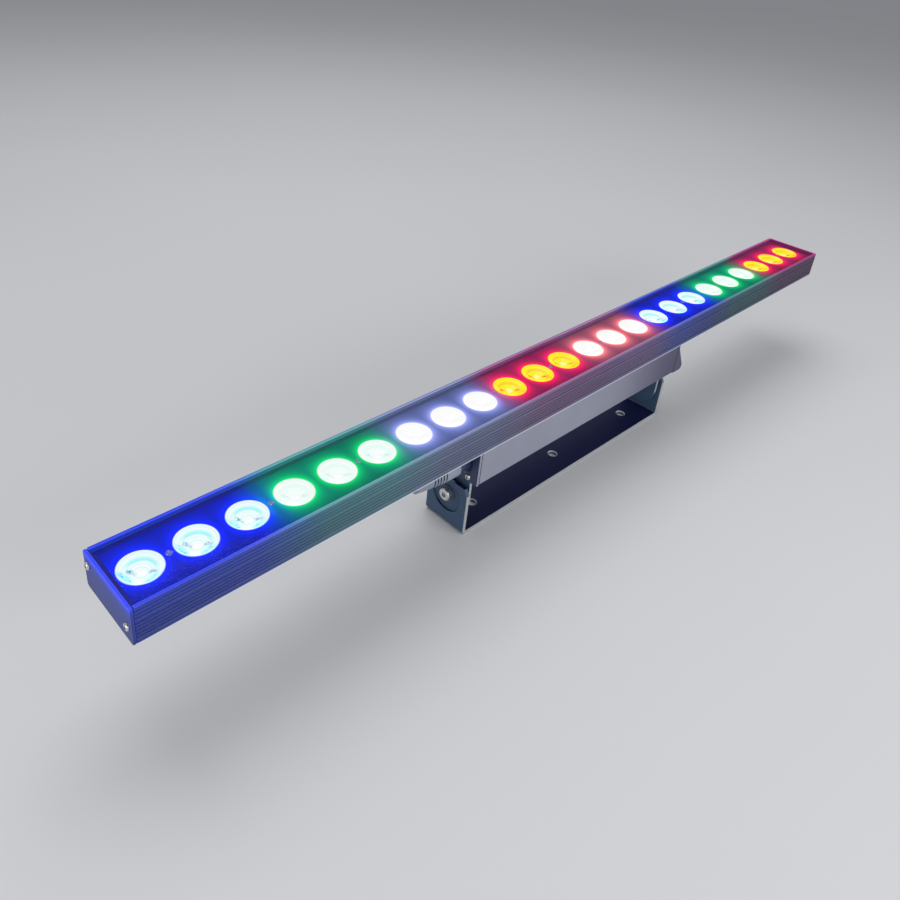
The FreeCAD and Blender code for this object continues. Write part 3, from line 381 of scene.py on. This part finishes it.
def lens_face_glow(colour):
    """A lit lens: a white-hot middle, tinted rings in its bowl, darker spots of painted shadow from the chips
    behind it, and a sparkle.
    """
    front_x, front_y = 0.58, 0.81
    lens = Finish("lit_lens_" + colour, base_color=(0.02, 0.02, 0.02), roughness=0.12, specular_ior_level=0.25,
                  emission_strength=1.0)
    x, y, z = lens.place()
    local_x = (x - FIRST_LENS).wrapped(LENS_PITCH)
    r = local_x.radius(y)

    # rings on the side towards -X and -Y, ripples, and a broken sparkle on the other side
    towards_front = local_x * -front_x - y * front_y
    ring_side = towards_front.step(1 * MM, -8 * MM)
    ring = r.bump_at(10.4 * MM, 1.9 * MM) * ring_side * 0.7
    inner_ring = r.bump_at(4.9 * MM, 0.7 * MM) * 0.5
    ripple = (r * (2 * math.pi / RIPPLE_PITCH)).math("SINE") * 0.08 + 0.10
    low_side = towards_front.step(0.5 * MM, 6 * MM)
    speckle = lens.noise(330.0, 3.0, 0.6).step(0.50, 0.62)
    corners = (local_x * front_y - y * front_x).abs().step(2.0 * MM, 6.5 * MM)
    sparkle = (0.5 + 0.5 * speckle) * low_side * r.bump_at(11.8 * MM, 5.0 * MM) * corners

    # painted chip shadows: centre and size in mm, and strength
    chip_shadow_spots = [(-5.9, 4.2, 2.1, 1.0), (5.9, -4.2, 1.9, 0.85), (-4.0, 0.6, 1.4, 0.55), (7.6, -6.6, 1.5, 0.5)]
    chip_shadows = Sock(lens, 0.0)
    broken = lens.noise(520.0, 2.0).step(0.30, 0.62)
    for spot_x, spot_y, size, strength in chip_shadow_spots:
        away = (local_x - spot_x * MM).radius(y - spot_y * MM)
        chip_shadows = chip_shadows + away.step(size * 1.5 * MM, size * 0.35 * MM) * broken * strength
    glow_tint = (ring + inner_ring + ripple * r.step(5 * MM, 7 * MM) + sparkle * 1.1) * MARKS[colour]
    hot = lens.mix(glow_tint.math("MINIMUM", 1.0), LENS_CORE[colour], LENS_RING[colour])
    shadows_and_sparkle = ((chip_shadows + sparkle * speckle * 0.3) * MARKS[colour]).math("MINIMUM", 1.0)
    hot = lens.mix(shadows_and_sparkle, hot, LENS_SHADOW_AND_SPARKLE[colour])

    # the middle, the rim, and nothing on the flange and the underside
    middle, share = RED_MIDDLE if colour == "red" else WHITE_MIDDLE
    hot = lens.mix(r.step(DOME_RADIUS, 1.6 * MM) * share, hot, middle)
    rim = r.step(LENS_RADIUS - 0.9 * MM, LENS_RADIUS)
    below_face = z.step(LENS_FACE - 9 * MM, LENS_FACE - 6.5 * MM)
    hot = lens.mix(rim * 0.8, hot, RIM_GLOW[colour])
    lens.set("Emission Color", lens.times(hot, below_face))
    return lens


# ------------------------------------------------------------------ painted sheet metal


def powder_coat(name, low, high, gloss=0.5):
    """Fine powder coat: a slight orange-peel bump, patches of tone, and paler edges, partly wear and partly painted
    highlight.
    """
    coat = Finish(name, roughness=0.5, specular_ior_level=gloss)
    tone = coat.mix(coat.noise(7.0, 4.0).step(0.3, 0.7), low, high)
    worn_and_highlit = tuple(min(1.0, 0.25 + 1.5 * c) for c in high)
    coat.set("Base Color", coat.mix(coat.edge_wear(0.45 * MM) * 0.75, tone, worn_and_highlit))
    coat.set("Roughness", 0.42 + 0.16 * coat.noise(40.0, 3.0))
    peel = coat.noise(900.0, 2.0) * 0.6 + coat.noise(260.0, 2.0) * 0.4
    coat.bump(peel, 0.05 * MM, 0.6)
    return coat


def box_paint():
    """Grey powder coat with painted shade that deepens towards +X; the faces across the box's ends get dark slate
    painted shade.
    """
    shade_from, shade_full_at = -20 * MM, 165 * MM
    coat = powder_coat("box_powder_coat", (0.24, 0.25, 0.32), (0.28, 0.29, 0.36))
    x, _, _ = coat.place()
    # painted shade: the coat darkens towards +X, where light falls off
    grey_and_shade = coat.mix(x.step(shade_from, shade_full_at), painted(coat), (0.058, 0.052, 0.110))
    # painted shade: faces turned along X are dark slate
    across = coat.normal_part("X").abs().step(0.5, 0.8)
    slate_and_shade = coat.mix(coat.noise(22.0, 3.0), (0.020, 0.036, 0.095), (0.030, 0.050, 0.120))
    coat.set("Base Color", coat.mix(across, grey_and_shade, slate_and_shade))
    return coat


def painted(coat):
    """What already feeds the coat's colour."""
    return Sock(coat, coat.shader.inputs["Base Color"].links[0].from_socket)


def cut_edge_paint(name, half, holes):
    """Slate powder coat with painted navy shade where it faces up, and paler metal on cut edges and at the base
    holes, partly bare metal and partly a painted highlight.
    """
    coat = powder_coat(name, (0.050, 0.090, 0.158), (0.064, 0.110, 0.188), gloss=0.2)
    x, y, z = coat.place()
    # painted shade: faces turned up are navy
    facing_up = coat.normal_part("Z").step(0.55, 0.9)
    slate_and_shade = coat.mix(facing_up, painted(coat), (0.006, 0.009, 0.050))
    # paler cut edges and hole chamfers: partly bare metal, partly a painted highlight
    bare_and_highlit = y.abs().step(half - 0.35 * MM, half - 0.12 * MM)
    if holes:
        from_hole = (x - BRACKET_CENTRE).wrapped(BASE_HOLE_SPACING).radius(y)
        on_base = z.step(BASE_THICKNESS + 0.4 * MM, BASE_THICKNESS + 0.1 * MM)
        chamfer = z.step(BASE_THICKNESS - 1.6 * MM, BASE_THICKNESS - 1.1 * MM)
        bare_and_highlit = bare_and_highlit.math("MAXIMUM", from_hole.step(5.6 * MM, 5.2 * MM) * on_base * chamfer)
    streaks = coat.noise(90.0, 3.0, 0.6, at=coat.stretched(0.3, 3.0, 6.0))
    metal = coat.mix(streaks, (0.34, 0.36, 0.38), (0.50, 0.52, 0.54))
    coat.set("Base Color", coat.mix(bare_and_highlit, slate_and_shade, metal))
    coat.set("Metallic", bare_and_highlit * 0.3)
    return coat


# ------------------------------------------------------------------ metal, plastic, rubber and glass


def bright_metal(name, low, high, roughness=0.22, scale=700.0):
    """Machined metal with fine scratches, with painted shade darkening its crevices."""
    metal = Finish(name, metallic=1.0)
    scratch = metal.noise(scale, 4.0, 0.7)
    tone = metal.mix(scratch.step(0.3, 0.7), low, high)
    # painted shade: crevices darkened to a dark brown
    metal.set("Base Color", metal.mix(metal.crevice(1.2 * MM) * 0.7, tone, (0.10, 0.09, 0.08)))
    metal.set("Roughness", roughness + 0.22 * scratch)
    metal.bump(scratch, 0.02 * MM, 0.4)
    return metal


def moulded(name, low, high, roughness=0.45, crevice_shade=0.5):
    """Moulded plastic or rubber: a fine spark-eroded grain, paler edges and painted shade in its grooves."""
    body = Finish(name)
    tone = body.mix(body.noise(30.0, 3.0).step(0.3, 0.7), low, high)
    edge = tuple(min(1.0, c * 1.5 + 0.02) for c in high)
    tone = body.mix(body.edge_wear(0.3 * MM) * 0.5, tone, edge)
    # painted shade: grooves darkened by the given amount
    body.set("Base Color", body.mix(body.crevice(2.0 * MM) * crevice_shade, tone, tuple(c * 0.15 for c in low)))
    grain = body.noise(1400.0, 2.0)
    body.set("Roughness", roughness + 0.12 * grain)
    body.bump(grain, 0.03 * MM, 0.4)
    return body


def cap_plastic():
    """Glossy grey plastic of the weather caps, with a dark band next to the box."""
    cap = moulded("cap_grey", (0.20, 0.235, 0.31), (0.27, 0.305, 0.38), 0.24, 0.95)
    x, _, _ = cap.place()
    dark_band = x.step(CAP_DARK_BAND, CAP_DARK_BAND + 0.3 * MM) * x.step(0.0, -1 * MM)
    cap.set("Base Color", cap.mix(dark_band, painted(cap), (0.018, 0.030, 0.080)))
    return cap


def circuit_board(name, mask, track):
    """Solder mask over fine tracks that run along the board."""
    board = Finish(name, coat_weight=0.4, coat_roughness=0.15)
    track_pitch = 1.6 * MM
    _, y, _ = board.place()
    lane = (y * (2 * math.pi / track_pitch)).math("SINE").step(0.55, 0.8)
    broken = board.noise(70.0, 2.0, at=board.stretched(0.4, 3.0, 1.0)).step(0.45, 0.55)
    board.set("Base Color", board.mix(lane * broken * 0.6, mask, track))
    board.set("Roughness", 0.35 + 0.15 * board.noise(200.0))
    return board


def clear_glass(name, glow_tint, alpha, roughness):
    """A clear pane with faint smears that show in its gloss."""
    pane = Finish(name, base_color=glow_tint, alpha=alpha, ior=1.5, specular_ior_level=0.5)
    smears = pane.noise(22.0, 3.0, at=pane.stretched(0.3, 1.0, 1.0)).step(0.4, 0.7)
    pane.set("Roughness", roughness + 0.06 * smears)
    return pane


def light_source():
    """Moulded light source: white base, amber dome."""
    source = Finish("light_source", roughness=0.3)
    _, _, z = source.place()
    amber = z.step(SOURCE_FOOT + 0.95 * MM, SOURCE_FOOT + 1.1 * MM)
    pale = source.mix(source.noise(400.0), (0.80, 0.80, 0.76), (0.88, 0.88, 0.84))
    source.set("Base Color", source.mix(amber, pale, (0.85, 0.62, 0.12)))
    return source


FINISHES = {
    "bar_aluminium": bar_finish,
    "box_paint": box_paint,
    "lens_panel": lens_panel_paint,
    "gasket_rubber": lambda: moulded("gasket_rubber", (0.012, 0.012, 0.014), (0.02, 0.02, 0.022), 0.7, 0.2),
    "stainless_screw": lambda: bright_metal("stainless_screw", (0.62, 0.61, 0.58), (0.82, 0.81, 0.78)),
    "bolt_steel": lambda: bright_metal("bolt_steel", (0.60, 0.60, 0.58), (0.80, 0.80, 0.78), 0.25),
    "pillar_brass": lambda: bright_metal("pillar_brass", (0.62, 0.43, 0.17), (0.78, 0.58, 0.26), 0.28),
    "front_glass": lambda: clear_glass("front_glass", (0.01, 0.012, 0.02), 0.035, 0.05),
    "display_window": lambda: clear_glass("smoked_window", (0.01, 0.011, 0.014), 0.55, 0.06),
    "black_plastic": lambda: moulded("black_plastic", (0.018, 0.019, 0.022), (0.030, 0.031, 0.036)),
    "cap_grey": cap_plastic,
    "button_grey": lambda: moulded("button_grey", (0.30, 0.30, 0.32), (0.38, 0.38, 0.40), 0.42, 0.4),
    "terminal_grey": lambda: moulded("terminal_grey", (0.16, 0.18, 0.18), (0.22, 0.24, 0.24)),
    "lead_red": lambda: moulded("lead_red", (0.36, 0.02, 0.015), (0.46, 0.03, 0.02), 0.5, 0.3),
    "thermal_pad": lambda: moulded("thermal_pad", (0.22, 0.22, 0.24), (0.28, 0.28, 0.30), 0.8, 0.2),
    "friction_fibre": lambda: moulded("friction_fibre", (0.09, 0.075, 0.06), (0.14, 0.12, 0.09), 0.85, 0.2),
    "white_board": lambda: circuit_board("white_board", (0.80, 0.80, 0.78), (0.62, 0.62, 0.60)),
    "green_board": lambda: circuit_board("green_board", (0.01, 0.10, 0.03), (0.03, 0.22, 0.07)),
    "led_package": light_source,
    "supply_case": lambda: bright_metal("supply_case", (0.50, 0.51, 0.52), (0.62, 0.63, 0.64), 0.35, 300.0),
}
NODE_FINISHES = {
    "bracket": lambda: cut_edge_paint("bracket_slate", BRACKET_HALF, True),
    "hinge_plate_left": lambda: cut_edge_paint("hinge_slate", HINGE_HALF, False),
    "glass_seal": glow_painted_rubber,
    "panel_screws": panel_screw_glow,
    "pivot_washers": lambda: powder_coat("painted_washer", (0.030, 0.050, 0.105), (0.045, 0.070, 0.135)),
}
SHARED_FINISHES = {"hinge_plate_right": "hinge_plate_left", "end_gaskets": "glass_seal"}


def dress_nodes():
    """Gives every node of the CAD model its own finish or that of its slot, and returns them by key."""
    made = {}
    for subpart in frame["record"]["subparts"]:
        name = subpart["node"]
        slot = subpart["material_slot"]
        own = SHARED_FINISHES.get(name, name)
        if own in NODE_FINISHES:
            key, make = own, NODE_FINISHES[own]
        elif slot.startswith("lens_") and slot != "lens_panel":
            key, make = slot, lambda: lens_face_glow(slot[len("lens_"):])
        else:
            key, make = slot, FINISHES[slot]
        if key not in made:
            made[key] = make().material
        mesh = frame["nodes"][name].data
        mesh.materials.clear()
        mesh.materials.append(made[key])
    return made


# ------------------------------------------------------------------ new pieces


def piece(name, points, faces, body, material, smooth=True):
    """A mesh object at the origin, riding on a body, with the material it is given."""
    mesh = bpy.data.meshes.new(name)
    mesh.from_pydata(points.tolist(), [], faces)
    mesh.polygons.foreach_set("use_smooth", np.full(len(mesh.polygons), smooth))
    mesh.materials.append(material)
    mesh.update()
    thing = bpy.data.objects.new(name, mesh)
    bpy.context.scene.collection.objects.link(thing)
    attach(thing, body)
    return thing


def turned_solid(radii, heights, centre_x, sides=72):
    """A closed solid of revolution: point (i, j) lies at radius r_i and height z_i, turned by j full-turn shares.

    The profile starts and ends on the axis, where each end is one point that a fan of triangles closes.
    """
    j = np.arange(sides)
    turn = j * 2 * np.pi / sides
    r, t = np.meshgrid(radii[1:-1], turn, indexing="ij")
    z = np.repeat(heights[1:-1], sides)
    ring = np.stack([centre_x + (r * np.cos(t)).ravel(), (r * np.sin(t)).ravel(), z], axis=1)
    points = np.vstack([ring, [[centre_x, 0, heights[0]], [centre_x, 0, heights[-1]]]])
    rows = len(radii) - 2
    lower = (np.arange(rows - 1) * sides)[:, None]
    upper, k = lower + sides, (j + 1) % sides
    quads = np.stack([lower + j, lower + k, upper + k, upper + j], -1).reshape(-1, 4)
    first, last, last_row = len(ring), len(ring) + 1, (rows - 1) * sides
    start_fan = np.stack([np.full(sides, first), k, j], -1)
    end_fan = np.stack([np.full(sides, last), last_row + j, last_row + k], -1)
    return points, quads, np.vstack([start_fan, end_fan])


def lens_profile():
    """Half section of a lens from its underside's middle, out round the flange, and back across its face.

    The face is a shallow bowl, depth bowl_depth * (1 - (r / R)^1.8), with ripples of ripple_height every
    RIPPLE_PITCH outside the middle, and a low dome of DOME_RADIUS in the middle.
    """
    foot_radius, cavity_radius, cavity_depth = 6.0 * MM, 3.6 * MM, 4.0 * MM
    cone_radius = LENS_RADIUS - 1.4 * MM
    flange_top = LENS_FACE - 1.5 * MM
    flange_low = flange_top - 1.8 * MM
    cavity_top = LENS_FOOT + cavity_depth
    bowl_radius, bowl_depth = LENS_RADIUS - 0.7 * MM, 5.4 * MM
    ripple_height, flat_rim, dome_height = 0.12 * MM, 1 * MM, 1.1 * MM
    under = [(0, cavity_top), (cavity_radius, cavity_top), (cavity_radius, LENS_FOOT), (foot_radius, LENS_FOOT),
             (cone_radius, flange_low), (FLANGE_RADIUS, flange_low), (FLANGE_RADIUS, flange_top),
             (LENS_RADIUS, flange_top), (LENS_RADIUS, LENS_FACE - 0.35 * MM)]
    rim = [(LENS_RADIUS - 0.1 * MM, LENS_FACE - 0.1 * MM), (LENS_RADIUS - 0.35 * MM, LENS_FACE)]
    r = np.linspace(bowl_radius, 0, 44)
    depth = bowl_depth * (1 - (r / bowl_radius) ** 1.8)
    ripple = ripple_height * np.sin(2 * np.pi * r / RIPPLE_PITCH) * np.clip((r - 5 * MM) / (2 * MM), 0, 1)
    dome = dome_height * np.clip(1 - (r / DOME_RADIUS) ** 2, 0, 1)
    face = LENS_FACE - 0.05 * MM - depth + ripple * (r < bowl_radius - flat_rim) + dome
    radii, heights = zip(*under, *rim, *zip(r, face))
    return np.array(radii), np.array(heights)


def make_lenses(finishes):
    """The lenses of each group with their bowls, in place of the plain solids."""
    radii, heights = lens_profile()
    for i, group in enumerate(GROUPS):
        points, faces = [], []
        for k in range(LENSES_PER_GROUP):
            x = FIRST_LENS + (i * LENSES_PER_GROUP + k) * LENS_PITCH
            ring_points, quads, fans = turned_solid(radii, heights, x)
            offset = sum(len(p) for p in points)
            points.append(ring_points)
            faces += (quads + offset).tolist() + (fans + offset).tolist()
        slot = "lens_" + GROUP_COLOURS[i]
        thing = piece("lens_bowls_" + group, np.vstack(points), faces, "lamp", finishes[slot])
        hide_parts("lenses_" + group)


def raised_plates(outlines, low, high):
    """Closed plates: point (i, j) is corner j of an outline in x and z, at y = low for i = 0, high for i = 1.

    An outline may run either way round: its area, half the sum of x_j z_j+1 - x_j+1 z_j, is made positive.
    """
    points, faces = [], []
    for outline in outlines:
        flat = np.asarray(outline, dtype=float)
        following = np.roll(flat, -1, axis=0)
        twice_area = np.sum(flat[:, 0] * following[:, 1] - following[:, 0] * flat[:, 1])
        flat = flat if twice_area > 0 else flat[::-1]
        n, start = len(flat), sum(len(p) for p in points)
        points.append(np.column_stack([np.tile(flat[:, 0], 2), np.repeat([low, high], n), np.tile(flat[:, 1], 2)]))
        i = start + np.arange(n)
        k = start + (np.arange(n) + 1) % n
        faces += [i.tolist(), (i + n)[::-1].tolist()] + np.column_stack([k, i, i + n, k + n]).tolist()
    return np.vstack(points), faces


def segment(along, length, width):
    """Six-cornered stroke of a digit, centred on zero; along is 0 for a level stroke and 1 for an upright one."""
    half, w = length / 2, width / 2
    level = np.array([(-half, 0), (-half + w, w), (half - w, w), (half, 0), (half - w, -w), (-half + w, -w)])
    return level[:, ::-1] if along else level


# the strokes of a digit: upright or not, and their middles in stroke lengths across and up
STROKES = {
    "a": (0, 0, 1), "b": (1, 0.5, 0.5), "c": (1, 0.5, -0.5), "d": (0, 0, -1), "e": (1, -0.5, -0.5),
    "f": (1, -0.5, 0.5), "g": (0, 0, 0)}
ZERO, ONE = "abcdef", "bc"


def make_digits():
    """A plain number on the display, in seven strokes a digit; the reader looks along -Y, so across is -X."""
    stroke, stroke_gap, width, pitch = 4.4 * MM, 0.25 * MM, 0.95 * MM, 8.6 * MM
    sunk, proud = 0.1 * MM, 0.05 * MM
    centre = (window_low + window_high) / 2
    outlines = []
    for k, strokes in enumerate((ZERO, ZERO, ONE)):
        for key in strokes:
            along, u, v = STROKES[key]
            shape = segment(along, stroke - stroke_gap, width)
            across, up = (k - 1) * pitch + u * stroke, centre[2] + v * stroke
            outlines.append([(centre[0] - (across + p[0]), up + p[1]) for p in shape])
    points, faces = raised_plates(outlines, window_low[1] - sunk, window_low[1] + proud)
    lit = Finish("lit_digits", base_color=(0.2, 0.01, 0.01), roughness=0.4, emission_strength=1.6)
    lit.set("Emission Color", lit.mix(lit.noise(300.0), (1.0, 0.05, 0.02), (0.9, 0.02, 0.01)))
    piece("display_digits", points, faces, "lamp", lit.material, smooth=False)


def raised_ring(centre, radius, width, low, high, parts=32):
    """A closed ring about a line along Y: point (i, j) is corner i of its section, turned by j full-turn shares."""
    inner, outer = radius - width / 2, radius + width / 2
    r, y = np.array([(inner, low), (outer, low), (outer, high), (inner, high)]).T
    turn = np.arange(parts) * 2 * np.pi / parts
    across = centre[0] + np.outer(r, np.cos(turn))
    up = centre[1] + np.outer(r, np.sin(turn))
    points = np.stack([across, np.repeat(y[:, None], parts, 1), up], -1).reshape(-1, 3)
    i, j = (grid.ravel() for grid in np.indices((4, parts)))
    row, next_row, k = i * parts, (i + 1) % 4 * parts, (j + 1) % parts
    quads = np.column_stack([row + j, next_row + j, next_row + k, row + k])
    return points, quads.tolist()


# outlines of the buttons' marks, in mm across and up
BAR = [(-1.9, -0.3), (1.9, -0.3), (1.9, 0.3), (-1.9, 0.3)]
ARROW = [(-1.9, -1.2), (1.9, -1.2), (0, 1.6)]
MARK_OUTLINES = {
    "menu": [[(u, v + shift) for u, v in BAR] for shift in (-1.35, 0, 1.35)],
    "up": [ARROW],
    "down": [[(u, -v) for u, v in ARROW]]}


def make_icons():
    """Raised marks on the four buttons: three bars, an arrow up, an arrow down and a ring."""
    ring_radius, ring_width = 1.6 * MM, 0.65 * MM
    foot, top = BUTTON_FACE - 0.1 * MM, BUTTON_FACE + 0.15 * MM
    ink = Finish("button_mark", roughness=0.5)
    ink.set("Base Color", ink.mix(ink.noise(400.0), (0.78, 0.78, 0.78), (0.88, 0.88, 0.88)))
    for word in ("menu", "up", "down", "enter"):
        low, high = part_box(word + "_button")
        x, z = (low[0] + high[0]) / 2, (low[2] + high[2]) / 2
        if word in MARK_OUTLINES:
            outlines = [[(x - u * MM, z + v * MM) for u, v in outline] for outline in MARK_OUTLINES[word]]
            points, faces = raised_plates(outlines, foot, top)
        else:
            points, faces = raised_ring((x, z), ring_radius, ring_width, foot, top)
        piece(word + "_mark", points, faces, word + "_button", ink.material, smooth=False)


# ------------------------------------------------------------------ camera, light and floor


def make_camera():
    """The camera, solved from the photo: its axes, its place, its focal length and picture centre in pixels."""
    right = Vector((0.73240809, -0.67704481, 0.07203278))
    down = Vector((-0.2804913, -0.39643268, -0.87416575))
    forward = Vector((0.62040553, 0.6200415, -0.48025568))
    place = (-0.637, -0.3935, PANEL_TOP + 0.4065)
    picture, focal_pixels, centre_x, centre_y = 900.0, 815.0, 409.3, 333.9
    data = bpy.data.cameras.new("camera")
    data.sensor_width = 36.0
    data.lens = focal_pixels * data.sensor_width / picture
    data.shift_x = (picture / 2 - centre_x) / picture
    data.shift_y = -(picture / 2 - centre_y) / picture
    data.clip_start = 0.01
    camera = bpy.data.objects.new("camera", data)
    turn = Matrix((right, -down, -forward)).transposed().to_4x4()
    camera.matrix_world = Matrix.Translation(place) @ turn
    bpy.context.scene.collection.objects.link(camera)
    bpy.context.scene.camera = camera


def make_light(name, place, target, size, power):
    """A white area light that faces its target."""
    data = bpy.data.lights.new(name, "AREA")
    data.shape = "RECTANGLE"
    data.size, data.size_y = size
    data.energy = power
    light = bpy.data.objects.new(name, data)
    light.location = place
    light.rotation_euler = (Vector(target) - Vector(place)).to_track_quat("-Z", "Y").to_euler()
    bpy.context.scene.collection.objects.link(light)


def make_floor(half):
    """A plain pale floor at z = 0, from -half to half each way."""
    mesh = bpy.data.meshes.new("floor")
    mesh.from_pydata([(-half, -half, 0), (half, -half, 0), (half, half, 0), (-half, half, 0)], [], [(0, 1, 2, 3)])
    floor = bpy.data.objects.new("floor", mesh)
    bpy.context.scene.collection.objects.link(floor)
    paint = Finish("studio_floor", roughness=0.75)
    paint.set("Base Color", paint.mix(paint.noise(1.5, 2.0), (0.62, 0.62, 0.63), (0.66, 0.66, 0.67)))
    mesh.materials.append(paint.material)


def make_studio():
    """The floor under soft light from above, from the front and from the left."""
    make_floor(60.0)
    world = bpy.data.worlds.new("studio")
    world.use_nodes = True
    background = world.node_tree.nodes["Background"]
    background.inputs["Color"].default_value = (0.80, 0.83, 0.88, 1.0)
    background.inputs["Strength"].default_value = 0.40
    scene = bpy.context.scene
    scene.world = world
    scene.view_settings.view_transform = "Standard"
    make_light("key_light", (0.1, -1.5, 0.7), (0.0, 0.0, 0.08), (1.6, 0.7), 14.0)
    make_light("fill_light", (-1.6, -0.2, 0.55), (-0.2, 0.0, 0.06), (0.9, 0.6), 6.0)
    make_light("top_light", (0.3, 0.9, 2.2), (0.0, 0.0, 0.08), (2.4, 1.6), 26.0)


make_camera()
make_studio()
finishes = dress_nodes()
make_lenses(finishes)
make_digits()
make_icons()
